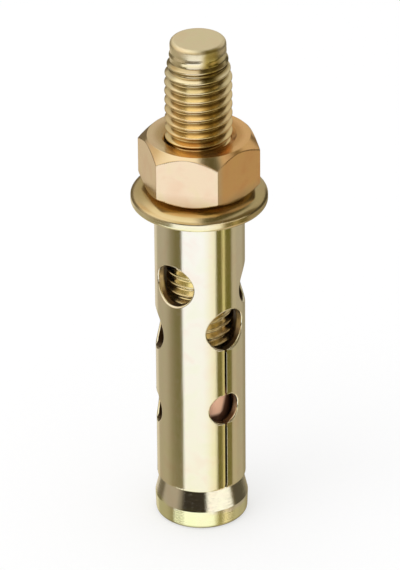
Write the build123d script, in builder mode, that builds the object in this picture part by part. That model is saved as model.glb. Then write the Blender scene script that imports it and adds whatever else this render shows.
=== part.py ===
# Sleeve anchor, M12 stud in a 16 mm expansion sleeve, assembled finger tight.
# Millimetres, +Z up, origin in the middle of the foot's flat underside.
from build123d import *
from math import cos, radians, sin, tan
import os

os.makedirs("parts", exist_ok=True)

# Stud: an M12 bolt with a flared conical foot turned on its lower end.
stud_height = 94.7
thread_d = 11.85            # M12 over the crests, as made
thread_pitch = 1.75
thread_depth = 0.94         # radial, and the flats of crest and root
thread_crest = 0.22
thread_root = 0.44
thread_low = 32.0           # where the rolled thread fades into the shank
shank_drop = 0.525          # radial, from the crests to the plain shank
point_drop = 0.925          # radial, from the crests to the turned point
point_len = 2.3
lead_in = 4.4               # length over drop, from the point to full thread
run_out = 2.5               # the same at the thread's lower end
point_break = 0.4

foot_overhang = 0.4         # radial, foot beyond the sleeve
foot_band = 3.55            # straight band round the foot
foot_break = 0.5            # chamfer round the underside
cone_angle = 13.1           # half angle of the cone above the band

# Sleeve: tube round the stud, standing on the cone, drilled and slit.
bore_gap = 0.575            # radial, from the thread to the bore
sleeve_wall = 1.5
sleeve_low = 7.5
sleeve_len = 55.55
cone_gap = 0.05             # between the cone and the seat turned in the sleeve
end_break = 0.3             # chamfer round the lower end
edge_break = 0.2

# Holes in the sleeve. The first hole of each row sits at the row's height
# and the others a little lower. Angles are round the sleeve, 0 towards -Y
# and turning towards +X.
large_hole_more = 1.6       # large hole's diameter over the bore's radius
small_hole_less = 0.3       # small hole's diameter under the bore's radius
row_1_z = 49.2
row_2_z = 40.3
row_3_z = 24.2
row_drop = 2.2
row_1_angles = (-38.6, 91.0, 200.0)
row_2_angles = (38.2, -86.0, 161.0)
row_3_angles = (33.8, -84.5, 160.0)
hole_break = 0.25           # chamfer where the drilled edges are deburred
slit_w = 0.45
slit_lap = 1.0              # how far a slit runs into the hole above it

# Washer under the nut, stamped, its rim eased above and below.
washer_od = 24.2
washer_bore_gap = 0.6       # radial, round the thread
washer_t = 2.9
washer_rim_break = 0.5
washer_low_break = 0.6

# Nut, 19 mm across flats, chamfered at both ends.
nut_af = 19.0
nut_h = 10.3
nut_top_flat_d = 18.1
nut_top_angle = 45.0
nut_low_flat_d = 17.3
nut_low_angle = 36.5
nut_turn = -12.9            # where one flat faces, same angles as the holes
thread_gap = 0.04           # radial, nut bore on the thread
countersink = 0.6

# Levels and radii that follow from the values above.
stud_r = thread_d / 2
shank_r = stud_r - shank_drop
point_r = stud_r - point_drop
bore_r = stud_r + bore_gap
sleeve_r = bore_r + sleeve_wall
foot_r = sleeve_r + foot_overhang
large_hole_d = bore_r + large_hole_more
small_hole_d = bore_r - small_hole_less
cone_slope = tan(radians(cone_angle))
cone_top = foot_band + (foot_r - shank_r) / cone_slope
point_z = stud_height - point_len
full_thread_z = point_z - point_drop * lead_in
shank_z = thread_low - shank_drop * run_out
washer_z = sleeve_low + sleeve_len
nut_z = washer_z + washer_t
nut_top = nut_z + nut_h
# turns above the nut, up to where the lead-in leaves them half their depth
half_thread_z = full_thread_z + lead_in * thread_depth / 2
free_turns = int((half_thread_z - nut_top) / thread_pitch)


def cone_radius(z):
    return foot_r - (z - foot_band) * cone_slope


def across(angle, z):
    """Plane through the axis at height z, square to a direction round it."""
    x, y = sin(radians(angle)), -cos(radians(angle))
    return Plane(origin=(0, 0, z), x_dir=(-y, x, 0), z_dir=(x, y, 0))


rows = [
    (large_hole_d, row_1_z, row_1_angles),
    (large_hole_d, row_2_z, row_2_angles),
    (small_hole_d, row_3_z, row_3_angles),
]


# The stud is one turned body, drawn as half a profile and revolved.
with BuildPart() as stud:
    with BuildSketch(Plane.XZ):
        with BuildLine():
            Polyline(
                (0, 0),
                (foot_r, 0),
                (foot_r, foot_band),
                (shank_r, cone_top),
                (shank_r, shank_z),
                (stud_r, thread_low),
                (stud_r, full_thread_z),
                (point_r, point_z),
                (point_r, stud_height),
                (0, stud_height),
                close=True,
            )
        make_face()
    revolve(axis=Axis.Z)
    rims = stud.edges().filter_by(GeomType.CIRCLE)
    chamfer(rims.group_by(Axis.Z)[0], foot_break)
    chamfer(stud.edges().filter_by(GeomType.CIRCLE).group_by(Axis.Z)[-1], point_break)
    # the turns of thread above the nut, as plain rings at the pitch
    mouth = (thread_pitch - thread_crest) / 2
    for turn in range(free_turns):
        with BuildSketch(Plane.XZ):
            with Locations((stud_r, nut_top + (turn + 0.5) * thread_pitch)):
                Polygon(
                    (0, mouth),
                    (-thread_depth, thread_root / 2),
                    (-thread_depth, -thread_root / 2),
                    (0, -mouth),
                    align=None,
                )
        revolve(axis=Axis.Z, mode=Mode.SUBTRACT)

# The sleeve's tube: its bore opens at the lower end into a seat that
# follows the cone of the stud with the seat gap all the way round.
seat_r = cone_radius(sleeve_low) + cone_gap / cos(radians(cone_angle))
seat_top = sleeve_low + (seat_r - bore_r) / cone_slope
with BuildPart() as sleeve:
    with BuildSketch(Plane.XZ):
        with BuildLine():
            Polyline(
                (seat_r, sleeve_low),
                (sleeve_r, sleeve_low),
                (sleeve_r, washer_z),
                (bore_r, washer_z),
                (bore_r, seat_top),
                close=True,
            )
        make_face()
    revolve(axis=Axis.Z)
    outer_rims = sleeve.edges().filter_by(GeomType.CIRCLE).group_by(SortBy.RADIUS)[-1]
    chamfer(outer_rims.sort_by(Axis.Z)[0], end_break)
    chamfer(sleeve.edges().filter_by(GeomType.CIRCLE).group_by(Axis.Z)[-1], edge_break)
    # each hole is drilled square to the tube, from outside to the bore
    for hole_d, row_z, angles in rows:
        for angle in angles:
            with BuildSketch(across(angle, row_z if angle == angles[0] else row_z - row_drop)):
                Circle(hole_d / 2)
            extrude(amount=2 * sleeve_r, mode=Mode.SUBTRACT)
    # the drilled edges are deburred on the outside
    hole_rims = [
        e for e in sleeve.edges()
        if e.geom_type not in (GeomType.CIRCLE, GeomType.LINE)
        and (e @ 0.25).X ** 2 + (e @ 0.25).Y ** 2 > (sleeve_r - sleeve_wall / 2) ** 2
    ]
    chamfer(hole_rims, hole_break)
    # one slit per leg, from the lower edge through the small hole and on
    # into the large hole above it
    for number, angle in enumerate(row_3_angles):
        top = row_2_z - (row_drop if number else 0) - large_hole_d / 2 + slit_lap
        with BuildSketch(across(angle, top / 2)):
            Rectangle(slit_w, top)
        extrude(amount=2 * sleeve_r, mode=Mode.SUBTRACT)

# Washer: a flat ring, chamfered round the rim and under the bore.
with BuildPart() as washer:
    with BuildSketch(Plane.XY.offset(washer_z)):
        Circle(washer_od / 2)
        Circle(stud_r + washer_bore_gap, mode=Mode.SUBTRACT)
    extrude(amount=washer_t)
    underside = washer.edges().filter_by(GeomType.CIRCLE).group_by(Axis.Z)[0]
    chamfer(underside.sort_by(SortBy.RADIUS)[0], edge_break)
    rims = washer.edges().filter_by(GeomType.CIRCLE).group_by(SortBy.RADIUS)
    chamfer(rims[-1].sort_by(Axis.Z)[-1], washer_rim_break)
    underside = washer.edges().filter_by(GeomType.CIRCLE).group_by(Axis.Z)[0]
    chamfer(underside.sort_by(SortBy.RADIUS)[-1], washer_low_break)

# Nut: a hexagon trimmed by one turned shape that carries both chamfers.
nut_top_r = nut_top_flat_d / 2
nut_low_r = nut_low_flat_d / 2
corner_r = nut_af / 2 / cos(radians(30)) + 1.0
with BuildPart() as nut:
    with BuildSketch(Plane.XY.offset(nut_z)):
        RegularPolygon(nut_af / 2, 6, major_radius=False, rotation=nut_turn)
        Circle(stud_r + thread_gap, mode=Mode.SUBTRACT)
    extrude(amount=nut_h)
    with BuildSketch(Plane.XZ):
        with BuildLine():
            Polyline(
                (0, nut_z),
                (nut_low_r, nut_z),
                (corner_r, nut_z + (corner_r - nut_low_r) * tan(radians(nut_low_angle))),
                (corner_r, nut_z + nut_h - (corner_r - nut_top_r) * tan(radians(nut_top_angle))),
                (nut_top_r, nut_z + nut_h),
                (0, nut_z + nut_h),
                close=True,
            )
        make_face()
    revolve(axis=Axis.Z, mode=Mode.INTERSECT)
    mouths = nut.edges().filter_by(GeomType.CIRCLE).group_by(SortBy.RADIUS)[0]
    chamfer(mouths, countersink)

stud.part.label = "stud"
sleeve.part.label = "sleeve"
washer.part.label = "washer"
nut.part.label = "nut"
export_step(stud.part, "parts/stud.step")
export_step(sleeve.part, "parts/sleeve.step")
export_step(washer.part, "parts/washer.step")
export_step(nut.part, "parts/nut.step")
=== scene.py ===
import math
import bpy
import numpy as np
from mathutils import Matrix, Vector
from mathutils.geometry import delaunay_2d_cdt


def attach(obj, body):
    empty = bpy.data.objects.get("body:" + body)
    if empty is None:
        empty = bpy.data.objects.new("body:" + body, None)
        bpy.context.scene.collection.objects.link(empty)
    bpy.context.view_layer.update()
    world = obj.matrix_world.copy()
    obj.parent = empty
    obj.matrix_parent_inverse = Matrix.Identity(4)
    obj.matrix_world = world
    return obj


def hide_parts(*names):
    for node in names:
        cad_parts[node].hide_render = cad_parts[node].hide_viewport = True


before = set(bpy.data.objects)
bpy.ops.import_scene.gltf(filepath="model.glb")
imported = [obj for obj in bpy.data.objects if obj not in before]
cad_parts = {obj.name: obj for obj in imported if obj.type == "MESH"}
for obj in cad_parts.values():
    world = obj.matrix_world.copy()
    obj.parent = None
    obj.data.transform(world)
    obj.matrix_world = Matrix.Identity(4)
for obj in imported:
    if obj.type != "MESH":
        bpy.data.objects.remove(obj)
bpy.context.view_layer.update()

# Stud: an M12 bolt of rolled steel, its foot turned to a flared cone in one
# piece with it. The thread is rolled after the end is pointed, so the last
# turns are shallow. The whole piece is zinc plated and passivated yellow.
MM = 0.001                  # the pieces' sizes are in millimetres
STUD_TOP = 94.7
THREAD_R = 5.925            # over the crests
THREAD_ROOT_R = 4.93
PITCH = 1.75
CREST_FLAT, ROOT_FLAT = 0.22, 0.44
CREST_ROUND, ROOT_ROUND = 0.13, 0.32
THREAD_LOW = 32.0
RUN_OUT = 2.6               # height in which the thread fades into the shank
SHANK_R = 5.4
POINT_R = 4.92
POINT_LEN = 2.3
POINT_EDGE = 0.8            # rounding round the upper end
LAST_TURN = 1.2             # height in which the thread fades out below it
LEAD_IN = 4.4               # length over drop of the last turns
FOOT_R = 8.4
FOOT_TAPER = 0.12           # radial, towards the underside
FOOT_BAND = 3.55
CONE_SLOPE = math.tan(math.radians(13.1))
THREAD_COLUMNS = 120
NEAR_AXIS = 1e-4            # radius of the small disc that closes each end


def turned(corners, steps=5):
    """Half a profile, given as corners (radius, height, rounding), with each
    corner rounded; returns its points and its outward normals."""
    points, normals = [], []
    for i, (r, z, size) in enumerate(corners):
        here = np.array((r, z), float)
        if i in (0, len(corners) - 1):
            other = corners[1] if i == 0 else corners[-2]
            along = (np.array(other[:2]) - here) * (1 if i == 0 else -1)
            along /= np.linalg.norm(along)
            points.append(here)
            normals.append((along[1], -along[0]))
            continue
        before = here - np.array(corners[i - 1][:2])
        after = np.array(corners[i + 1][:2]) - here
        before /= np.linalg.norm(before)
        after /= np.linalg.norm(after)
        turn = math.atan2(before[0] * after[1] - before[1] * after[0], before @ after)
        back = size * math.tan(abs(turn) / 2)
        start = here - before * back
        side = math.copysign(1.0, turn)
        centre = start + side * size * np.array((-before[1], before[0]))
        for k in range(steps + 1):
            a = turn * k / steps
            c, s = math.cos(a), math.sin(a)
            n = np.array((before[1], -before[0]))
            n = np.array((n[0] * c - n[1] * s, n[0] * s + n[1] * c))
            points.append(centre + side * size * n)
            normals.append(n)
    return np.array(points), np.array(normals)


def around(profile, normals, angles):
    """Sweeps a profile round the axis, one row of points per profile point."""
    c, s = np.cos(angles)[None, :], np.sin(angles)[None, :]
    r, z = profile[:, :1], profile[:, 1:]
    nr, nz = normals[:, :1], normals[:, 1:]
    return (np.stack([r * c, r * s, z + 0 * c], -1),
            np.stack([nr * c, nr * s, nz + 0 * c], -1))


def metal_piece(name, points, faces, normals, body, node, finish=None):
    """Makes a mesh object from points in mm, welds those less than about
    half a micrometre apart, and shades it with the normals given (a zero
    normal is worked out). finish gives each face the number of its
    material, if there are several. The piece stands for the node."""
    points = np.asarray(points, float).reshape(-1, 3)
    keys = np.round(points * 2000).astype(np.int64)
    _, first, back = np.unique(keys, axis=0, return_index=True, return_inverse=True)
    back = back.reshape(-1)
    clean, material = [], []
    for number, face in enumerate(faces):
        loop = []
        for i in face:
            j = int(back[i])
            if not loop or j != loop[-1]:
                loop.append(j)
        if len(loop) > 1 and loop[0] == loop[-1]:
            loop.pop()
        if len(set(loop)) > 2:
            clean.append(loop)
            material.append(finish[number] if finish else 0)
    mesh = bpy.data.meshes.new(name)
    mesh.from_pydata((points[first] * MM).tolist(), [], clean)
    mesh.polygons.foreach_set("material_index", material)
    mesh.validate()
    mesh.polygons.foreach_set("use_smooth", [True] * len(mesh.polygons))
    normals = np.asarray(normals, float).reshape(-1, 3)[first]
    mesh.normals_split_custom_set_from_vertices(normals.tolist())
    mesh.update()
    piece = bpy.data.objects.new(name, mesh)
    bpy.context.scene.collection.objects.link(piece)
    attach(piece, body)
    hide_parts(node)
    return piece


def grid_faces(rows, columns, start=0, close_rows=False):
    """Quads of a grid of points whose columns go right round the axis."""
    faces = []
    for i in range(rows if close_rows else rows - 1):
        a, b = start + i * columns, start + (i + 1) % rows * columns
        for j in range(columns):
            k = (j + 1) % columns
            faces.append((a + j, a + k, b + k, b + j))
    return faces


# One turn of the thread in section, from crest to crest: 60 degrees between
# the flanks, a narrow flat crest and a wider, hollow root.
flank = (PITCH - CREST_FLAT - ROOT_FLAT) / 2
turn_profile, turn_normals = turned([
    (THREAD_R, 0.0, 0),
    (THREAD_R, CREST_FLAT / 2, CREST_ROUND),
    (THREAD_ROOT_R, CREST_FLAT / 2 + flank, ROOT_ROUND),
    (THREAD_ROOT_R, PITCH - CREST_FLAT / 2 - flank, ROOT_ROUND),
    (THREAD_R, PITCH - CREST_FLAT / 2, CREST_ROUND),
    (THREAD_R, PITCH, 0)], 3)
turn_profile, turn_normals = turn_profile[:-1], turn_normals[:-1]

# The section climbs one pitch a turn. Rows that would pass an end are held
# at it, with a few to spare beyond it, and the seam column is repeated one
# turn further on.
angles = np.linspace(0, 2 * math.pi, THREAD_COLUMNS + 1)
point_z = STUD_TOP - POINT_LEN
full_thread_z = point_z - (THREAD_R - POINT_R) * LEAD_IN
low_end, high_end = THREAD_LOW - RUN_OUT, STUD_TOP - POINT_EDGE
first, last = math.floor(low_end / PITCH) - 2, math.ceil(high_end / PITCH) + 1
base = np.concatenate([turn_profile + (0, PITCH * k) for k in range(first, last)])
slope = np.tile(-turn_normals[:, 1] / turn_normals[:, 0], last - first)[:, None]
height = base[:, 1:] + PITCH * angles / (2 * math.pi)
kept = (height.max(1) > low_end - 0.5) & (height.min(1) < high_end + 0.5)
height, slope = np.clip(height[kept], low_end, high_end), slope[kept]
groove = (THREAD_R - base[kept][:, :1]) / (THREAD_R - THREAD_ROOT_R)
# towards the pointed end each crest is lower than the last, so the last turns
# are shallow; at the lower end the thread fades out to the shank
nearest_crest = np.round(base[kept][:, 1:] / PITCH) * PITCH + PITCH * angles / (2 * math.pi)
crest = np.interp(nearest_crest, [full_thread_z, point_z, high_end],
                  [THREAD_R, POINT_R + 0.05, POINT_R])
root = np.interp(height, [point_z - LAST_TURN, high_end], [THREAD_ROOT_R, POINT_R - 0.06])
fade_in = np.clip((height - low_end) / RUN_OUT, 0, 1) ** 0.8
fade_out = np.clip((high_end - height) / LAST_TURN, 0, 1)
depth = (crest - root) * fade_in * fade_out
radius = SHANK_R + (crest - groove * depth - SHANK_R) * fade_in
radius[height >= high_end] = POINT_R
slope = slope * depth / (THREAD_R - THREAD_ROOT_R) * fade_in
c, s = np.cos(angles), np.sin(angles)
thread = np.stack([radius * c, radius * s, height], -1)
twist = slope * PITCH / (2 * math.pi * radius)
thread_n = np.stack([c - twist * s, s + twist * c, -slope], -1)
thread_n /= np.linalg.norm(thread_n, axis=-1)[..., None]

# the foot with the shank above it, and the pointed end
cone_top = FOOT_BAND + (FOOT_R - SHANK_R) / CONE_SLOPE
foot_profile, foot_normals = turned([
    (0.0, 0.0, 0),
    (FOOT_R - FOOT_TAPER, 0.0, 0.6),
    (FOOT_R, FOOT_BAND, 0.12),
    (SHANK_R, cone_top, 1.2),
    (SHANK_R, low_end, 0)])
foot_profile[0, 0] = NEAR_AXIS
tip_profile, tip_normals = turned([
    (POINT_R, high_end, 0),
    (POINT_R - 0.03, STUD_TOP, POINT_EDGE - 0.03),
    (0.0, STUD_TOP, 0)], 8)
tip_profile[-1, 0] = NEAR_AXIS
foot_rows, foot_n = around(foot_profile, foot_normals, angles[:-1])
tip_rows, tip_n = around(tip_profile, tip_normals, angles[:-1])
stud_points = np.concatenate([rows.reshape(-1, 3) for rows in (foot_rows, tip_rows, thread)])
stud_normals = np.concatenate([rows.reshape(-1, 3) for rows in (foot_n, tip_n, thread_n)])
stud_faces = grid_faces(len(foot_rows), THREAD_COLUMNS)
tip_start = len(foot_rows) * THREAD_COLUMNS
stud_faces += grid_faces(len(tip_rows), THREAD_COLUMNS, tip_start)
stud_faces += [tuple(range(THREAD_COLUMNS))[::-1]]
last_ring = tip_start + (len(tip_rows) - 1) * THREAD_COLUMNS
stud_faces += [tuple(last_ring + j for j in range(THREAD_COLUMNS))]
thread_start = tip_start + len(tip_rows) * THREAD_COLUMNS
for i in range(thread.shape[0] - 1):
    a = thread_start + i * (THREAD_COLUMNS + 1)
    b = a + THREAD_COLUMNS + 1
    stud_faces += [(a + j, a + j + 1, b + j + 1, b + j) for j in range(THREAD_COLUMNS)]
stud = metal_piece("anchor_stud", stud_points, stud_faces, stud_normals,
                   "stud", "stud")


class Wire:
    """One output in a node tree. Arithmetic on it adds Math nodes."""

    def __init__(self, tree, output):
        self.tree, self.output = tree, output

    def math(self, operation, *terms):
        return add_node(self.tree, "ShaderNodeMath", {"operation": operation},
                        dict(enumerate(terms)))

    def beside(self, output):
        """Another output of the same node."""
        return Wire(self.tree, self.output.node.outputs[output])

    def __add__(self, other): return self.math("ADD", self, other)
    def __radd__(self, other): return self.math("ADD", other, self)
    def __sub__(self, other): return self.math("SUBTRACT", self, other)
    def __rsub__(self, other): return self.math("SUBTRACT", other, self)
    def __mul__(self, other): return self.math("MULTIPLY", self, other)
    def __rmul__(self, other): return self.math("MULTIPLY", other, self)
    def __truediv__(self, other): return self.math("DIVIDE", self, other)
    def __rtruediv__(self, other): return self.math("DIVIDE", other, self)
    def __pow__(self, other): return self.math("POWER", self, other)
    def __neg__(self): return self.math("MULTIPLY", self, -1.0)

    def between(self, low, high, soft):
        """1 where the value lies from low to high, with soft edges."""
        return self.rise(low - soft, low + soft) * (1 - self.rise(high - soft, high + soft))

    def rise(self, start, end):
        """0 up to start, 1 from end on, smooth between them."""
        return add_node(self.tree, "ShaderNodeMapRange",
                        {"interpolation_type": "SMOOTHSTEP", "clamp": True},
                        {"Value": self, "From Min": start, "From Max": end})


def add_node(tree, kind, settings=None, sockets=None, output=0):
    """Adds one node: its settings first, then the values or links of its
    sockets, by name or number; returns the output asked for as a Wire, or
    nothing for a node that has no output."""
    node = tree.nodes.new(kind)
    for name, value in (settings or {}).items():
        if name == "stops":
            ramp = node.color_ramp
            while len(ramp.elements) < len(value):
                ramp.elements.new(0.5)
            for element, (place, colour) in zip(ramp.elements, value):
                element.position = place
                element.color = (*colour, 1)
        else:
            setattr(node, name, value)
    for name, value in (sockets or {}).items():
        socket = node.inputs[name]
        if isinstance(value, Wire):
            tree.links.new(value.output, socket)
        else:
            socket.default_value = value
    return Wire(tree, node.outputs[output]) if len(node.outputs) else None


def mix_colour(tree, amount, first, second, blend="MIX"):
    """Blends two colours by an amount from 0 to 1."""
    first, second = ((*c, 1) if isinstance(c, tuple) else c for c in (first, second))
    return add_node(tree, "ShaderNodeMix", {"data_type": "RGBA", "blend_type": blend},
                    {0: amount, 6: first, 7: second}, 2)


def plated(name, tones, rough, film, lines, stretch, grain,
           right=None, inner=None, ledges=None, stud_marks_and_shade=False):
    """Steel plated with zinc and passivated yellow. Its tone changes with
    height, tones being (height in mm, colour); a thin film tints it pink in
    some clouds and green in others, and film is how strongly; handling
    leaves fine marks in the shine.
    lines and grain are the relief of the tool's lines and of the plating,
    and stretch the lines' scale along x, y and z. right is a painted tone,
    lighter or darker for how light falls there, on the faces towards +X, if
    there is one. inner is (tint, radius, radius) for a painted shade towards
    the axis, which fades between the two radii, and ledges the tint of a
    painted shade on walls that face up or stand at the sides.
    The stud's marks add what only the stud has: a painted shade in the roots,
    more on the right, and down the front of the free thread, a painted contact
    shade on the edge that the foot stands on, a matt shank with a painted
    shadow down one side and low down, and a ringed foot."""
    material = bpy.data.materials.new(name)
    material.use_nodes = True
    tree = material.node_tree
    tree.nodes.clear()
    place = add_node(tree, "ShaderNodeTexCoord", output="Object")
    mm = add_node(tree, "ShaderNodeMapping", {"vector_type": "POINT"},
                  {"Vector": place, "Scale": (1000, 1000, 1000)})
    x = add_node(tree, "ShaderNodeSeparateXYZ", {}, {"Vector": mm})
    y, z = x.beside(1), x.beside(2)
    cloud = add_node(tree, "ShaderNodeTexNoise", {},
                     {"Vector": mm, "Scale": 0.3, "Detail": 3.0, "Roughness": 0.5, "Distortion": 0.6})
    drift = add_node(tree, "ShaderNodeTexNoise", {},
                     {"Vector": mm, "Scale": 0.11, "Detail": 2.0, "Roughness": 0.5})
    fine = add_node(tree, "ShaderNodeTexNoise", {},
                    {"Vector": mm, "Scale": 4.0, "Detail": 4.0, "Roughness": 0.65})
    speck = add_node(tree, "ShaderNodeTexNoise", {},
                     {"Vector": mm, "Scale": 1.7, "Detail": 5.0, "Roughness": 0.75})
    low, high = tones[0][0], tones[-1][0]
    level = (z + (drift - 0.5) * min(6.0, (high - low) / 4) - low) / (high - low)
    colour = add_node(tree, "ShaderNodeValToRGB",
                      {"stops": [((h - low) / (high - low), c) for h, c in tones]}, {"Fac": level})
    # painted light or shade: another tone on the faces towards +X
    if right:
        colour = mix_colour(tree, (x + y * 0.25).rise(0.4, 2.2) * level.rise(0.0, 0.3), colour, right)
    colour = mix_colour(tree, cloud.rise(0.46, 0.74) * film, colour, (1.0, 0.88, 0.86), "MULTIPLY")
    colour = mix_colour(tree, (1 - cloud).rise(0.46, 0.74) * film, colour, (0.95, 1.0, 0.86), "MULTIPLY")
    colour = mix_colour(tree, speck.rise(0.66, 0.74) * 0.35, colour, (0.72, 0.62, 0.45), "MULTIPLY")
    drawn = add_node(tree, "ShaderNodeMapping", {"vector_type": "POINT"},
                     {"Vector": mm, "Scale": stretch})
    scratch = add_node(tree, "ShaderNodeTexNoise", {},
                       {"Vector": drawn, "Scale": 1.0, "Detail": 5.0, "Roughness": 0.7})
    shine = rough * (0.75 + 0.5 * cloud) + 0.05 * fine.rise(0.5, 0.75) + 0.12 * speck.rise(0.64, 0.74)
    metal = 1.0
    radius = (x * x + y * y) ** 0.5
    # painted shade towards the axis, fading out between the two radii
    if inner:
        colour = mix_colour(tree, 1 - radius.rise(*inner[1:]), colour, inner[0], "MULTIPLY")
    # painted shade on walls at the sides, then on walls that face up
    if ledges:
        colour = mix_colour(tree, y.between(-0.5, 4.5, 1.0), colour, ledges, "MULTIPLY")
        facing = add_node(tree, "ShaderNodeNewGeometry", output="Normal")
        upward = add_node(tree, "ShaderNodeSeparateXYZ", {}, {"Vector": facing}, 2)
        colour = mix_colour(tree, upward.rise(0.25, 0.8), colour, ledges, "MULTIPLY")
    if stud_marks_and_shade:
        # painted shade in the roots of the free thread, more of it on the right
        free = z.rise(74.0, 77.0)
        root_shade = (1 - radius.rise(5.0, 5.55)) * free * (1 - z.rise(90.5, 92.5))
        root_shade = root_shade * (0.55 + x.rise(-1.0, 1.0) * 0.45)
        colour = mix_colour(tree, root_shade, colour, (0.42, 0.36, 0.22), "MULTIPLY")
        # a painted olive shade, a dark reflection, down the front of the free thread
        front_shade = (x + (cloud - 0.5) * 1.5).between(0.9, 3.7, 0.8) * (1 - y.rise(-3.0, 2.0)) * free
        front_shade = front_shade * radius.rise(4.3, 4.7) * (0.62 + z.rise(86.0, 91.0) * 0.38)
        colour = mix_colour(tree, front_shade, colour, (0.46, 0.40, 0.18), "MULTIPLY")
        # the edge that the foot stands on is painted dark, a contact shade
        colour = mix_colour(tree, 1 - z.rise(0.2, 0.8), colour, (0.34, 0.32, 0.29), "MULTIPLY")
        # the plain shank is matt, with a painted shadow on the right and low down
        matt = z.between(14.0, 30.5, 1.5)
        metal = 1 - matt
        shank_shadow = (x - 3.9 - (z - 23.5) * 0.24).rise(-0.3, 0.5)
        shank_shadow = shank_shadow + (1 - z.rise(21.5, 22.3)) * x.rise(1.0, 2.0)
        shank_shadow = shank_shadow * (1 - y.rise(-1.0, 0.0)) * matt
        colour = mix_colour(tree, shank_shadow, colour, (0.11, 0.075, 0.055), "MULTIPLY")
        # the foot is bright, with the rings that turning left, the tip satin
        foot = 1 - z.rise(11.0, 13.0)
        shine = shine + matt * 0.3 + z.rise(92.0, 93.8) * 0.22 - foot * 0.11
        scratch = scratch * foot
    relief = scratch * lines + fine * grain
    bump = add_node(tree, "ShaderNodeBump", {},
                    {"Strength": 0.35, "Distance": 0.00005, "Height": relief})
    surface = add_node(tree, "ShaderNodeBsdfPrincipled", {},
                       {"Base Color": colour, "Metallic": metal, "Roughness": shine, "Normal": bump})
    add_node(tree, "ShaderNodeOutputMaterial", {}, {"Surface": surface})
    return material


# the turned foot is bright, the shank coppery, the thread golden to straw, with a painted shade from 34
# to 43 mm where it lies inside the sleeve
stud.data.materials.append(plated(
    "stud_zinc",
    [(0.0, (0.90, 0.90, 0.54)), (3.4, (0.90, 0.90, 0.58)), (3.9, (0.85, 0.81, 0.68)),
     (12.0, (0.85, 0.81, 0.66)), (18.0, (1.0, 0.58, 0.38)), (30.5, (1.0, 0.60, 0.39)),
     (34.0, (0.74, 0.61, 0.36)), (43.0, (0.78, 0.65, 0.40)), (46.0, (1.0, 0.90, 0.58)),
     (62.0, (1.0, 0.88, 0.56)), (74.0, (0.98, 0.76, 0.42)), (84.0, (0.97, 0.79, 0.48)),
     (89.0, (0.92, 0.82, 0.57)), (94.7, (0.96, 0.86, 0.62))],
    rough=0.20, film=0.35, lines=0.9, stretch=(0.25, 0.25, 5.0), grain=0.012, stud_marks_and_shade=True))

# Sleeve: steel tube of 16 mm with a 1.5 mm wall, drilled in three rows, the
# holes' edges tumbled round, slit from the lower edge so that it can spread,
# and bored out at that end to sit on the stud's cone.
SLEEVE_R = 8.0
BORE_R = 6.5
WALL = SLEEVE_R - BORE_R
SLEEVE_LOW = 7.5
SLEEVE_TOP = 63.05
SEAT_R = FOOT_R - (SLEEVE_LOW - FOOT_BAND) * CONE_SLOPE + 0.05
# the rows from above; in each, the first hole stands at the row's height and
# the others lower by the drop; angles are in degrees from -Y towards +X
LARGE_HOLE_R = 3.9
SMALL_HOLE_R = 2.95
HOLE_RADII = (LARGE_HOLE_R, LARGE_HOLE_R, SMALL_HOLE_R)
ROW_HEIGHTS = (49.2, 40.3, 24.2)
ROW_DROP = 2.2
ROW_ANGLES = ((-38.6, 91.0, 200.0), (38.2, -86.0, 161.0), (33.8, -84.5, 160.0))
SLIT_HALF = 0.225
HOLE_ROUND = 0.4            # the holes' outer edges, tumbled round
SLIT_ROUND = 0.05           # the slits' outer edges
BORE_EDGE = 0.05            # edges of all walls towards the bore
END_ROUND = 0.3
TOP_ROUND = 0.2
EDGE_STEPS = 4              # steps round an outer edge
BORE_RING = EDGE_STEPS + 2  # number of the wall's last point, on the bore
HOLE_STEPS = 72             # points round a large hole
SMALL_STEPS = 26            # steps round each half of a small hole
RIM_STEPS = 90              # steps round the ends of the tube
SEAM = math.radians(-0.2)   # where the tube is opened flat, clear of all holes
TUBE, DRILLED, SAWN = range(3)


def bore_at(z):
    """Inner radius of the sleeve at a height, with its conical seat."""
    return np.maximum(BORE_R, SEAT_R - (z - SLEEVE_LOW) * CONE_SLOPE)


def hole_place(row, number):
    """Angle in radians and height of one hole's middle."""
    return math.radians(ROW_ANGLES[row][number]), ROW_HEIGHTS[row] - (ROW_DROP if number else 0)


def outside_at(z):
    """Outer radius at a height, rounded in at both ends, and its tilt."""
    low = np.clip((SLEEVE_LOW + END_ROUND - z) / END_ROUND, 0, 1)
    high = np.clip((z - SLEEVE_TOP + TOP_ROUND) / TOP_ROUND, 0, 1)
    drop = END_ROUND * (1 - np.sqrt(1 - low ** 2)) + TOP_ROUND * (1 - np.sqrt(1 - high ** 2))
    return SLEEVE_R - drop, high - low


class Cut:
    """One point on the edge of the sheet that the tube unrolls to. It knows
    the hole or slit it belongs to and where its wall stands."""

    def __init__(self, column, side, height, out_side, out_height, size):
        self.column, self.side, self.height = column, side, height
        self.out = (out_side, out_height)
        self.size = size

    def at(self, depth_share, spread):
        """Point on the wall: depth_share 0 is outside, 1 the bore, and
        spread is how far the rounding still stands off the wall."""
        side = self.side + self.out[0] * spread * self.size
        height = self.height + self.out[1] * spread * self.size
        r_out = outside_at(np.float64(height))[0]
        r_in = bore_at(height)
        r = r_out + (r_in - r_out) * depth_share
        return self.column + math.asin(max(-0.999, min(0.999, side / r))), height, r


def ring_of(cut):
    """The points down a wall, from the outer face round the edge to the
    bore, each with its normal's share of outward and sideways."""
    size = cut.size / WALL
    ring = []
    for k in range(EDGE_STEPS + 1):
        b = math.pi / 2 * k / EDGE_STEPS
        share = size * (1 - math.cos(b))
        ring.append((cut.at(share, 1 - math.sin(b)), math.cos(b), math.sin(b)))
    ring.append((cut.at(1 - BORE_EDGE / WALL, 0.0), 0.0, 1.0))
    ring.append((cut.at(1.0, BORE_EDGE / max(cut.size, BORE_EDGE)), -1.0, 0.0))
    return ring


def wrap(angle):
    """Angle measured on from the seam, from 0 to a full turn."""
    return (angle - SEAM) % (2 * math.pi)


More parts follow.
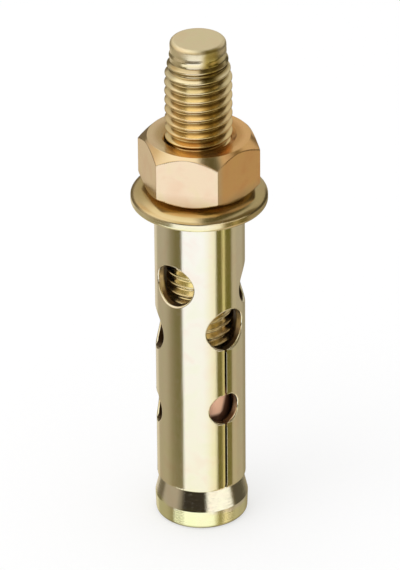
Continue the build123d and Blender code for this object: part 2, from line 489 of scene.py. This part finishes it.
def slit_column(slit, small_z, large, large_z):
    """Edge points of one slit with its small and large hole, from the lower
    edge up the left side, round the large hole and down the right side."""
    cuts = []
    shift = SLEEVE_R * math.sin(slit - large)
    enter = math.asin(SLIT_HALF / SMALL_HOLE_R)
    low_left = math.asin((shift - SLIT_HALF) / LARGE_HOLE_R)
    low_right = math.asin((shift + SLIT_HALF) / LARGE_HOLE_R)
    small_low = small_z - SMALL_HOLE_R * math.cos(enter)
    small_high = small_z + SMALL_HOLE_R * math.cos(enter)

    def straight(side, z0, z1, n):
        out = math.copysign(1.0, side)
        for z in np.linspace(z0, z1, n)[1:-1]:
            cuts.append(Cut(slit, side, z, out, 0.0, SLIT_ROUND))

    def arc(centre, centre_z, r, start, end, n):
        for k in range(n + 1):
            a = start + (end - start) * k / n
            # the edge is rounded less over the last three steps to the slit
            size = SLIT_ROUND + (HOLE_ROUND - SLIT_ROUND) * min(1.0, min(k, n - k) / 3)
            cuts.append(Cut(centre, r * math.sin(a), centre_z - r * math.cos(a),
                            math.sin(a), -math.cos(a), size))

    cuts.append(Cut(slit, -SLIT_HALF, SLEEVE_LOW, -1.0, 0.0, SLIT_ROUND))
    straight(-SLIT_HALF, SLEEVE_LOW, small_low, 14)
    arc(slit, small_z, SMALL_HOLE_R, -enter, -(math.pi - enter), SMALL_STEPS)
    straight(-SLIT_HALF, small_high, large_z - LARGE_HOLE_R, 12)
    arc(large, large_z, LARGE_HOLE_R, low_left, low_right - 2 * math.pi, HOLE_STEPS)
    straight(SLIT_HALF, large_z - LARGE_HOLE_R, small_high, 12)
    arc(slit, small_z, SMALL_HOLE_R, math.pi - enter, enter, SMALL_STEPS)
    straight(SLIT_HALF, small_low, SLEEVE_LOW, 14)
    cuts.append(Cut(slit, SLIT_HALF, SLEEVE_LOW, 1.0, 0.0, SLIT_ROUND))
    return cuts


class Rim(Cut):
    """A point on the lower or upper rim of the tube."""

    def __init__(self, angle, height):
        super().__init__(angle, 0.0, height, 0.0, 0.0, SLIT_ROUND)


# the sheet's outline: along the lower rim, up and down each slit with its two
# holes, and back along the upper rim; the upper row's holes are loops inside it
lower_edge = []
reach = 0.0
for number in sorted(range(3), key=lambda i: wrap(hole_place(2, i)[0])) + [None]:
    start = reach
    slit = None if number is None else hole_place(2, number)[0]
    goal = 2 * math.pi if slit is None else wrap(slit) - SLIT_HALF / SLEEVE_R
    n = max(2, int((goal - start) / math.radians(4)))
    for k in range(n + 1):
        if (k == 0 and start > 0) or (k == n and slit is not None):
            continue
        lower_edge.append(Rim(SEAM + start + (goal - start) * k / n, SLEEVE_LOW))
    if slit is not None:
        lower_edge += slit_column(*hole_place(2, number), *hole_place(1, number))
        reach = wrap(slit) + SLIT_HALF / SLEEVE_R
upper_edge = [Rim(SEAM + 2 * math.pi * k / RIM_STEPS, SLEEVE_TOP) for k in range(RIM_STEPS, -1, -1)]
loops = [lower_edge + upper_edge]
for number in range(3):
    angle, z = hole_place(0, number)
    ring = []
    for k in range(HOLE_STEPS):
        a = 2 * math.pi * k / HOLE_STEPS
        ring.append(Cut(angle, LARGE_HOLE_R * math.sin(a), z - LARGE_HOLE_R * math.cos(a),
                        math.sin(a), -math.cos(a), HOLE_ROUND))
    loops.append(ring)

# each edge point carries its ring of wall points; the rings of one loop are
# joined by quads, and the outer and inner faces are filled between them
sleeve_points, sleeve_normals, sleeve_faces, sleeve_finish = [], [], [], []
loop_rows = []
for number, cuts in enumerate(loops):
    rows_here = []
    for cut in cuts:
        row = []
        for (angle, z, r), outward, sideways in ring_of(cut):
            c, s = math.sin(angle), -math.cos(angle)
            radial = np.array((c, s, 0.0))
            if isinstance(cut, Rim):
                away = np.array((0.0, 0.0, 1.0 if cut.height > SLEEVE_LOW else -1.0))
            else:
                square = np.array((math.cos(cut.column), math.sin(cut.column), 0.0))
                away = -(square * cut.out[0] + np.array((0, 0, cut.out[1])))
            normal = radial * outward + away * sideways
            normal /= np.linalg.norm(normal)
            row.append(len(sleeve_points))
            sleeve_points.append((r * c, r * s, z))
            sleeve_normals.append(normal)
        rows_here.append(row)
    loop_rows.append(rows_here)
    for i, cut in enumerate(cuts):
        # the outline's two stretches up the seam have no wall
        if number == 0 and i in (len(lower_edge) - 1, len(cuts) - 1):
            continue
        here, there = rows_here[i], rows_here[(i + 1) % len(cuts)]
        for k in range(BORE_RING):
            face = (here[k], there[k], there[k + 1], here[k + 1])
            drilled = cut.out[1] != 0.0
            sleeve_finish.append(TUBE if k < EDGE_STEPS or isinstance(cut, Rim)
                                 else DRILLED if drilled else SAWN)
            sleeve_faces.append(face[::-1] if number == 0 else face)


def inside_cut(angle, z, r, hole_more, slit_more):
    """True where a point of the sheet lies in a hole or a slit."""
    for number in range(3):
        for row, hole_r in enumerate(HOLE_RADII):
            centre, height = hole_place(row, number)
            turn = (angle - centre + math.pi) % (2 * math.pi) - math.pi
            away = math.hypot(r * math.sin(turn), z - height)
            if abs(turn) < math.pi / 2 and away < hole_r + hole_more:
                return True
        slit, top = hole_place(2, number)[0], hole_place(1, number)[1]
        turn = (angle - slit + math.pi) % (2 * math.pi) - math.pi
        if abs(turn) < math.pi / 2 and abs(r * math.sin(turn)) < SLIT_HALF + slit_more and z < top:
            return True
    return False


def fill_sheet(k, r, finish):
    """Triangulates the outer face, k = 0, or the bore, k = BORE_RING, as a
    flat sheet between all of its edges, and rolls it up again."""
    flat, source, owner, edges = [], [], [], []
    for number, cuts in enumerate(loops):
        base = len(flat)
        for row, cut in zip(loop_rows[number], cuts):
            angle, z, _ = ring_of(cut)[k][0]
            # the ends of both rims stay on their own side of the seam
            on = wrap(angle) if number or not isinstance(cut, Rim) else angle - SEAM
            flat.append((on * r, z))
            source.append(row[k])
            owner.append(number)
        edges += [(base + i, base + (i + 1) % len(cuts)) for i in range(len(cuts))]

    # points inside the sheet: a staggered grid clear of all edges, both sides
    # of the seam at the same heights, rows where the ends are rounded, and one
    # where the bore's seat begins
    width = 2 * math.pi * r
    edge_points = np.array(flat)
    standoff = (BORE_EDGE, BORE_EDGE) if k else (HOLE_ROUND, SLIT_ROUND)
    step_u, step_z = math.radians(4.0) * r, 1.1
    free = []
    for z in np.arange(SLEEVE_LOW + 0.5, SLEEVE_TOP - 0.2, step_z):
        offset = 0.5 * (int(z / step_z) % 2)
        for i in range(1, int(round(width / step_u))):
            u = (i + offset) * step_u
            if u > width - 0.3 or inside_cut(SEAM + u / r, z, r, *standoff):
                continue
            if np.min(np.hypot(edge_points[:, 0] - u, edge_points[:, 1] - z)) < 0.33:
                continue
            free.append((u, z))
    for z in np.linspace(SLEEVE_LOW, SLEEVE_TOP, 60)[1:-1]:
        free += [(0.0, z), (width, z)]
    for z in (SLEEVE_LOW + 0.05, SLEEVE_LOW + 0.12, SLEEVE_LOW + 0.2, SLEEVE_LOW + END_ROUND,
              SLEEVE_TOP - TOP_ROUND, SLEEVE_TOP - 0.12, SLEEVE_TOP - 0.04):
        for i in range(RIM_STEPS + 1):
            u = width * i / RIM_STEPS
            gap = np.min(np.hypot(edge_points[:, 0] - u, (edge_points[:, 1] - z) * 3))
            if gap > 0.12 and not inside_cut(SEAM + u / r, z, r, *standoff):
                free.append((u, z))
    if k:
        seat_top = SLEEVE_LOW + (SEAT_R - BORE_R) / CONE_SLOPE
        for i in range(RIM_STEPS + 1):
            u = width * i / RIM_STEPS
            if not inside_cut(SEAM + u / r, seat_top, r, *standoff):
                free.append((u, seat_top))

    # edge points keep the places that their walls gave them, and the others
    # are set on the tube; hole_of is the hole that a point stands on, if any
    sheet = [Vector(p) for p in flat + free]
    points, _, triangles, origin, *_ = delaunay_2d_cdt(sheet, edges, [], 4, 1e-6)
    used = {i for face in triangles for i in face}
    remap, hole_of = [None] * len(points), [0] * len(points)
    for number, ((u, z), parents) in enumerate(zip(points, origin)):
        if number not in used:
            continue
        fixed = [i for i in parents if i < len(flat)]
        if fixed:
            remap[number], hole_of[number] = source[fixed[0]], owner[fixed[0]]
            continue
        angle = SEAM + u / r
        if k:
            radius = float(bore_at(z))
            slope = CONE_SLOPE if radius > BORE_R + 1e-6 else 0.0
            normal = np.array((-math.sin(angle), math.cos(angle), -slope))
        else:
            radius, tilt = (float(v) for v in outside_at(np.float64(z)))
            level = math.sqrt(max(0.0, 1 - tilt ** 2))
            normal = np.array((math.sin(angle) * level, -math.cos(angle) * level, tilt))
        remap[number] = len(sleeve_points)
        sleeve_points.append((radius * math.sin(angle), -radius * math.cos(angle), z))
        sleeve_normals.append(normal / np.linalg.norm(normal))
    for face in triangles:
        # a triangle with all its corners on one hole would close that hole
        if hole_of[face[0]] and len({hole_of[i] for i in face}) == 1:
            continue
        corners = tuple(remap[i] for i in face)
        sleeve_finish.append(finish)
        sleeve_faces.append(corners[::-1] if k else corners)


fill_sheet(0, SLEEVE_R, TUBE)
fill_sheet(BORE_RING, BORE_R, DRILLED)
sleeve = metal_piece("anchor_sleeve", sleeve_points, sleeve_faces, sleeve_normals,
                     "sleeve", "sleeve", sleeve_finish)
# the tube is drawn bright, its bore and the drilled walls are matt, with painted
# # shade inside the tube and on the drilled walls that face up or stand at the
# # sides, and the walls of the sawn slits are painted dark as the shade in them
sleeve.data.materials.append(plated(
    "sleeve_zinc",
    [(7.5, (0.88, 0.82, 0.60)), (30.0, (0.88, 0.83, 0.66)), (63.0, (0.89, 0.85, 0.72))],
    rough=0.12, film=0.4, lines=0.5, stretch=(2.6, 2.6, 0.05), grain=0.01))
sleeve.data.materials.append(plated(
    "drilled_zinc",
    [(7.5, (0.88, 0.82, 0.62)), (29.0, (0.90, 0.83, 0.65)), (33.0, (0.98, 0.90, 0.80)),
     (63.0, (0.98, 0.90, 0.80))],
    rough=0.40, film=0.4, lines=0.2, stretch=(1, 1, 4), grain=0.05,
    inner=((0.21, 0.16, 0.10), 6.52, 6.95), ledges=(0.20, 0.15, 0.10)))
sleeve.data.materials.append(plated(
    "slit_shade_zinc", [(7.5, (0.20, 0.15, 0.08)), (63.0, (0.24, 0.18, 0.10))],
    rough=0.45, film=0.4, lines=0.2, stretch=(1, 1, 4), grain=0.05))

# Washer: stamped from steel sheet and tumbled, its upper rim rolled well
# over by the die, loose on the thread, so it lies on the sleeve's upper end.
WASHER_LOW = SLEEVE_TOP
WASHER_T = 2.9
WASHER_R = 12.1
WASHER_BORE_R = THREAD_R + 0.6
SHOULDER_R, SHOULDER_H = 2.5, 1.5   # the rolled rim, inwards and down
WASHER_COLUMNS = 160
washer_top = WASHER_LOW + WASHER_T
# the profile starts and ends in the bore, goes round the underside, and over
# the shoulder, a quarter of an ellipse, to the top
bore_mid = (WASHER_BORE_R, WASHER_LOW + 1.0, 0)
shoulder = np.linspace(0, math.pi / 2, 15)
shoulder_points = np.stack([WASHER_R - SHOULDER_R * (1 - np.cos(shoulder)),
                            washer_top - SHOULDER_H * (1 - np.sin(shoulder))], -1)
shoulder_normals = np.stack([np.cos(shoulder) / SHOULDER_R, np.sin(shoulder) / SHOULDER_H], -1)
shoulder_normals /= np.linalg.norm(shoulder_normals, axis=1)[:, None]
under_points, under_normals = turned([
    bore_mid, (WASHER_BORE_R, WASHER_LOW, 0.15), (WASHER_R, WASHER_LOW, 0.75),
    (WASHER_R, shoulder_points[0, 1], 0)], 8)
over_points, over_normals = turned([
    (WASHER_R - SHOULDER_R, washer_top, 0), (WASHER_BORE_R, washer_top, 0.2), bore_mid], 8)
washer_rows, washer_n = around(
    np.concatenate([under_points[:-1], shoulder_points[:-1], over_points[:-1]]),
    np.concatenate([under_normals[:-1], shoulder_normals[:-1], over_normals[:-1]]),
    np.linspace(0, 2 * math.pi, WASHER_COLUMNS + 1)[:-1])
washer = metal_piece("anchor_washer", washer_rows,
                     grid_faces(len(washer_rows), WASHER_COLUMNS, close_rows=True),
                     washer_n, "washer", "washer")
# the washer is darker towards its top, a painted shade under the nut, and its faces towards +X take a
# darker painted shade
washer.data.materials.append(plated(
    "washer_zinc",
    [(WASHER_LOW, (0.86, 0.82, 0.52)), (WASHER_LOW + 1.2, (0.94, 0.86, 0.62)),
     (WASHER_LOW + 2.2, (0.78, 0.63, 0.37)), (washer_top, (0.62, 0.49, 0.24))],
    rough=0.22, film=0.4, lines=0.15, stretch=(0.6, 0.6, 0.6), grain=0.003,
    right=(0.60, 0.49, 0.27)))

# Nut: forged hexagon of 19 mm across flats, chamfered at both ends, with a
# countersunk M12 thread. It screws down on the washer.
NUT_LOW = washer_top
NUT_H = 10.3
NUT_HIGH = NUT_LOW + NUT_H
NUT_AF = 19.0
NUT_TURN = math.radians(-12.9)      # where one flat faces
TOP_FLAT_R, TOP_TILT = 9.05, math.radians(45.0)
LOW_FLAT_R, LOW_TILT = 8.65, math.radians(36.5)
EDGE_SOFT = 0.012                   # how round the outer edges are
SINK_R = 6.55                       # mouth of each countersink
SINK_ANGLE = math.radians(60)       # its side against the axis
SINK_RISE = 0.12                    # height of the rounding round the mouth
NUT_MINOR_R = 5.12
NUT_MAJOR_R = 6.02
GROOVE_HALF = 0.17                  # half the flat at the bottom of the thread
FLANK = 0.56                        # height of one flank of the thread


def nut_field(x, y, z):
    """Below zero inside the nut: faces, chamfers and ends, with the edges
    between them rounded."""
    r = np.hypot(x, y)
    parts = [z - NUT_HIGH, NUT_LOW - z,
             (r - TOP_FLAT_R) * math.sin(TOP_TILT) + (z - NUT_HIGH) * math.cos(TOP_TILT),
             (r - LOW_FLAT_R) * math.sin(LOW_TILT) + (NUT_LOW - z) * math.cos(LOW_TILT)]
    for k in range(6):
        a = NUT_TURN + math.radians(60 * k)
        parts.append(x * math.sin(a) - y * math.cos(a) - NUT_AF / 2)
    parts = np.stack(parts)
    top = parts.max(0)
    return top + EDGE_SOFT * np.log(np.exp((parts - top) / EDGE_SOFT).sum(0))


# columns stand closer together at the six edges, in degrees from each
half = [0.12, 0.3, 0.6, 1, 1.5, 2, 2.6, 3.4, 4.5, *range(6, 30, 2)]
nut_angles = np.array([NUT_TURN + math.radians(60 * k + 30) - math.pi / 2 + math.radians(a)
                       for k in range(6) for a in [-a for a in half[::-1]] + [0] + half + [30]])
n_columns = len(nut_angles)
ca, sa = np.cos(nut_angles)[None, :], np.sin(nut_angles)[None, :]

# From a ring in the middle of the wall, rays go out to a rough section of the
# nut, so many to each of its spans, and each stops where it meets the surface.
mid_r, mid_z = 8.0, NUT_LOW + NUT_H / 2
end_r = SINK_R + 0.25               # inner edge of both end faces
section = [(end_r, 0), (LOW_FLAT_R - 0.5, 0), (LOW_FLAT_R + 0.3, 0), (10.2, 1.3), (10.2, 8.2),
           (TOP_FLAT_R + 0.4, NUT_H), (TOP_FLAT_R - 0.4, NUT_H), (end_r, NUT_H)]
rays = []
for (r0, z0), (r1, z1), n in zip(section[:-1], section[1:], (6, 12, 40, 30, 56, 14, 8)):
    rays += [(r0 + (r1 - r0) * (k / n) - mid_r, z0 + (z1 - z0) * (k / n) - NUT_H / 2)
             for k in range(n)]
rays = np.array(rays + [(end_r - mid_r, NUT_H / 2)])
rays /= np.linalg.norm(rays, axis=1)[:, None]
near, far = np.zeros((len(rays), n_columns)), np.full((len(rays), n_columns), 9.0)
for _ in range(40):
    t = (near + far) / 2
    r, z = mid_r + rays[:, :1] * t, mid_z + rays[:, 1:] * t
    inside = nut_field(r * ca, r * sa, z) < 0
    near, far = np.where(inside, t, near), np.where(inside, far, t)
r, z = mid_r + rays[:, :1] * near, mid_z + rays[:, 1:] * near
x, y = r * ca, r * sa
h = 1e-3                            # the normals follow from the field's slope
nut_n = np.stack([nut_field(x + h, y, z) - nut_field(x - h, y, z),
                  nut_field(x, y + h, z) - nut_field(x, y - h, z),
                  nut_field(x, y, z + h) - nut_field(x, y, z - h)], -1)
nut_n /= np.linalg.norm(nut_n, axis=-1)[..., None]


def nut_bore(angle, z):
    """Radius of the threaded bore at an angle and a height. The thread is on
    the same helix as the stud's, a tenth of a millimetre clear of it."""
    turn = ((z - PITCH * angle / (2 * math.pi)) / PITCH + 0.5) % 1.0 - 0.5
    flank = np.clip((abs(turn) * PITCH - GROOVE_HALF) / FLANK, 0, 1)
    thread_r = NUT_MAJOR_R + (NUT_MINOR_R - NUT_MAJOR_R) * flank
    low = SINK_R - (z - NUT_LOW - SINK_RISE) * math.tan(SINK_ANGLE)
    high = SINK_R - (NUT_HIGH - SINK_RISE - z) * math.tan(SINK_ANGLE)
    return np.maximum(thread_r, np.maximum(low, high))


# the bore from the top down, and a lip that rounds each countersink's mouth
bore_z = np.concatenate([[SINK_RISE], np.linspace(0.2, NUT_H - 0.2, 104), [NUT_H - SINK_RISE]])
bore_z = NUT_LOW + bore_z[::-1]
bore_r = nut_bore(np.mod(nut_angles, 2 * math.pi)[None, :], bore_z[:, None])
bore_r[0], bore_r[-1] = SINK_R, SINK_R
bore = np.stack([bore_r * ca, bore_r * sa, bore_z[:, None] + 0 * ca], -1)
lip_r = SINK_R + 0.09
lip_top, lip_low = (np.stack([lip_r * ca, lip_r * sa, z + 0 * ca], -1)
                    for z in (NUT_HIGH - 0.02, NUT_LOW + 0.02))
nut_points = np.concatenate([np.stack([x, y, z], -1), lip_top, bore, lip_low])
nut_normals = np.concatenate([nut_n, np.zeros((len(bore) + 2, n_columns, 3))])
nut = metal_piece("anchor_nut", nut_points, grid_faces(len(nut_points), n_columns, close_rows=True),
                  nut_normals, "nut", "nut")
# the faces towards +X take a painted, warmer and brighter tone for how light falls there, and a painted
# shade darkens the bore and the inner rings of both ends
nut.data.materials.append(plated(
    "nut_zinc",
    [(NUT_LOW, (0.62, 0.45, 0.24)), (NUT_LOW + 3.2, (0.86, 0.67, 0.45)), (NUT_HIGH, (0.87, 0.69, 0.46))],
    rough=0.20, film=0.5, lines=0.1, stretch=(0.5, 0.5, 0.5), grain=0.012,
    right=(0.98, 0.61, 0.29), inner=((0.74, 0.68, 0.54), 6.9, 8.4)))

# Studio: a pale floor that shows white, one soft lamp from above on the left,
# and surroundings that the metal mirrors: white sheets in front and overhead,
# dimmer ones behind, and dark boards and gaps between them.
floor_mesh = bpy.data.meshes.new("floor")
floor_mesh.from_pydata([(-2, -2, 0), (2, -2, 0), (2, 2, 0), (-2, 2, 0)], [], [(0, 1, 2, 3)])
floor = bpy.data.objects.new("floor", floor_mesh)
bpy.context.scene.collection.objects.link(floor)
floor.visible_glossy = False    # the metal mirrors the sheets, not the floor
paper = bpy.data.materials.new("floor_paper")
paper.use_nodes = True
tree = paper.node_tree
tree.nodes.clear()
spot = add_node(tree, "ShaderNodeTexCoord", output="Object")
fibre = add_node(tree, "ShaderNodeTexNoise", {}, {"Vector": spot, "Scale": 900.0, "Detail": 2.0})
sheet = add_node(tree, "ShaderNodeBsdfDiffuse", {},
                 {"Color": mix_colour(tree, fibre, (0.95, 0.95, 0.955), (0.97, 0.97, 0.97))})
glow = add_node(tree, "ShaderNodeEmission", {}, {"Color": (1, 1, 1, 1), "Strength": 1.0})
seen = add_node(tree, "ShaderNodeLightPath", output="Is Camera Ray") * 0.5
paper_white = add_node(tree, "ShaderNodeMixShader", {}, {0: seen, 1: sheet, 2: glow})
add_node(tree, "ShaderNodeOutputMaterial", {}, {"Surface": paper_white})
floor_mesh.materials.append(paper)

world = bpy.data.worlds.new("studio")
bpy.context.scene.world = world
world.use_nodes = True
tree = world.node_tree
tree.nodes.clear()
direction = add_node(tree, "ShaderNodeTexCoord", output="Generated")
dx = add_node(tree, "ShaderNodeSeparateXYZ", {}, {"Vector": direction})
dy, dz = dx.beside(1), dx.beside(2)
azimuth = dx.math("ARCTAN2", dx, -dy) * (180 / math.pi)
elevation = dz.math("ARCSINE", dz) * (180 / math.pi)
studio = mix_colour(tree, elevation.rise(-60, 60), (0.42, 0.36, 0.25), (0.60, 0.56, 0.46))


def panel(under, az, el, colour, soft=3.0, soft_el=3.0):
    """Lays a sheet over the room between two azimuths, measured from the
    camera's side towards +X, and two elevations, all in degrees."""
    mask = azimuth.between(az[0], az[1], soft) * elevation.between(el[0], el[1], soft_el)
    return mix_colour(tree, mask, under, colour)


# below the horizon, where upright faces look: the table's white sheet in
# front, with dark boards on both sides of it, the left one shading off
below = 1 - elevation.rise(-17, -13)
studio = panel(studio, (-190, -141), (-95, -15), (0.70, 0.62, 0.48), 4)
studio = mix_colour(tree, below * azimuth.rise(-106, -58) * (1 - azimuth.rise(-49, -44)),
                    studio, (0.17, 0.14, 0.05))
sheet_glow = mix_colour(tree, elevation.rise(-33, -27), (1.06, 1.08, 1.13), (1.10, 1.13, 1.24))
sheet_glow = mix_colour(tree, azimuth.rise(4, 40), sheet_glow, (1.0, 0.95, 0.74))
studio = panel(studio, (-47, 42), (-95, -15), sheet_glow, 2.5)
studio = panel(studio, (42, 89), (-95, -15), (0.16, 0.135, 0.03), 2.5)
studio = panel(studio, (59, 67), (-95, -15), (0.72, 0.62, 0.28), 2.5)
studio = panel(studio, (89, 106), (-95, -15), (0.50, 0.43, 0.30), 3)
studio = panel(studio, (140, 190), (-95, -15), (0.34, 0.29, 0.19), 8)
# close to the table the sheet reaches further round to the left
studio = panel(studio, (-79, 36), (-95, -34.5), (1.12, 1.12, 1.05), 4, 0.8)
studio = panel(studio, (36, 56), (-95, -34.5), (0.45, 0.38, 0.20), 5, 0.8)
studio = panel(studio, (56, 88), (-95, -34.5), (0.95, 0.80, 0.62), 5, 0.8)
# in front, about and above the horizon, where rolled edges look: bright on
# the left, a dark room on the right
studio = panel(studio, (-125, 5), (-13, 44), (0.70, 0.56, 0.36), 12, 4)
studio = panel(studio, (-98, -44), (-13, 44), (0.98, 0.88, 0.68), 14, 4)
studio = panel(studio, (5, 108), (-13, 44), (0.17, 0.13, 0.06), 8, 4)
# about the horizon, in the narrow belt where the cone of the foot looks
studio = panel(studio, (-190, -106), (-23, 9), (0.17, 0.14, 0.09), 8, 2)
studio = panel(studio, (-110, -50), (-17, 4), (0.46, 0.40, 0.30), 8, 2)
belt = azimuth.rise(-66, -42) * (1 - azimuth.rise(9, 15)) * elevation.between(-15.5, 3, 1.5)
studio = mix_colour(tree, belt, studio, (0.040, 0.032, 0.022))
studio = panel(studio, (12, 78), (-13.5, -1.5), (1.24, 1.22, 1.12), 3, 1.5)
studio = panel(studio, (84, 152), (-23, 9), (0.10, 0.085, 0.055), 4)
# overhead: a white sheet on the left and a dark gap on the right
studio = mix_colour(tree, elevation.rise(36, 50) * (1 - dx.rise(-0.06, 0.04)),
                    studio, (1.1, 1.05, 0.92))
studio = mix_colour(tree, elevation.rise(40, 50) * dx.between(0.03, 0.47, 0.07),
                    studio, (0.085, 0.07, 0.012))

# only what mirrors sees the studio: the camera sees white, and plain light
# falls on everything else
plain = add_node(tree, "ShaderNodeBackground", {}, {"Color": (1, 1, 1, 1), "Strength": 0.97})
mirrored = add_node(tree, "ShaderNodeBackground", {}, {"Color": studio, "Strength": 1.0})
white = add_node(tree, "ShaderNodeBackground", {}, {"Color": (1, 1, 1, 1), "Strength": 1.0})
is_camera = add_node(tree, "ShaderNodeLightPath", output="Is Camera Ray")
is_glossy = is_camera.beside("Is Glossy Ray")
lit = add_node(tree, "ShaderNodeMixShader", {}, {0: is_glossy, 1: plain, 2: mirrored})
shown = add_node(tree, "ShaderNodeMixShader", {}, {0: is_camera, 1: lit, 2: white})
add_node(tree, "ShaderNodeOutputWorld", {}, {"Surface": shown})

lamp_data = bpy.data.lights.new("soft_lamp", "AREA")
lamp_data.shape = "DISK"
lamp_data.size = 0.5
lamp_data.energy = 1.0
lamp = bpy.data.objects.new("soft_lamp", lamp_data)
bpy.context.scene.collection.objects.link(lamp)
lamp.location = (-0.35, -0.25, 0.8)
lamp.rotation_euler = (Vector((0, 0, 0.04)) - lamp.location).to_track_quat("-Z", "Y").to_euler()
lamp.visible_glossy = False

# Camera: in front of the anchor and above it, looking down at the angle of
# the photograph, with the long lens and the slight roll that were fitted to it.
LOOK_DOWN, ROLL = 0.5155, -0.0086   # radians
CAMERA_PLACE = (0, -0.75485, 0.47367)
FOCAL_PX, IMAGE_H = 4891.0, 570     # focal length and height of the photograph, in pixels
SENSOR_H = 24.0
ahead = Vector((0, math.cos(LOOK_DOWN), -math.sin(LOOK_DOWN)))
level_right = Vector((1, 0, 0))
level_up = level_right.cross(ahead)
rolled_right = level_right * math.cos(ROLL) + level_up * math.sin(ROLL)
rolled_up = level_up * math.cos(ROLL) - level_right * math.sin(ROLL)
camera_data = bpy.data.cameras.new("camera")
camera_data.sensor_fit = "VERTICAL"
camera_data.sensor_height = SENSOR_H
camera_data.lens = FOCAL_PX / IMAGE_H * SENSOR_H
camera_data.clip_start = 0.01
camera = bpy.data.objects.new("camera", camera_data)
bpy.context.scene.collection.objects.link(camera)
turn = Matrix((rolled_right, rolled_up, -ahead)).transposed()
camera.matrix_world = Matrix.Translation(CAMERA_PLACE) @ turn.to_4x4()
bpy.context.scene.camera = camera
bpy.context.scene.view_settings.view_transform = "Standard"
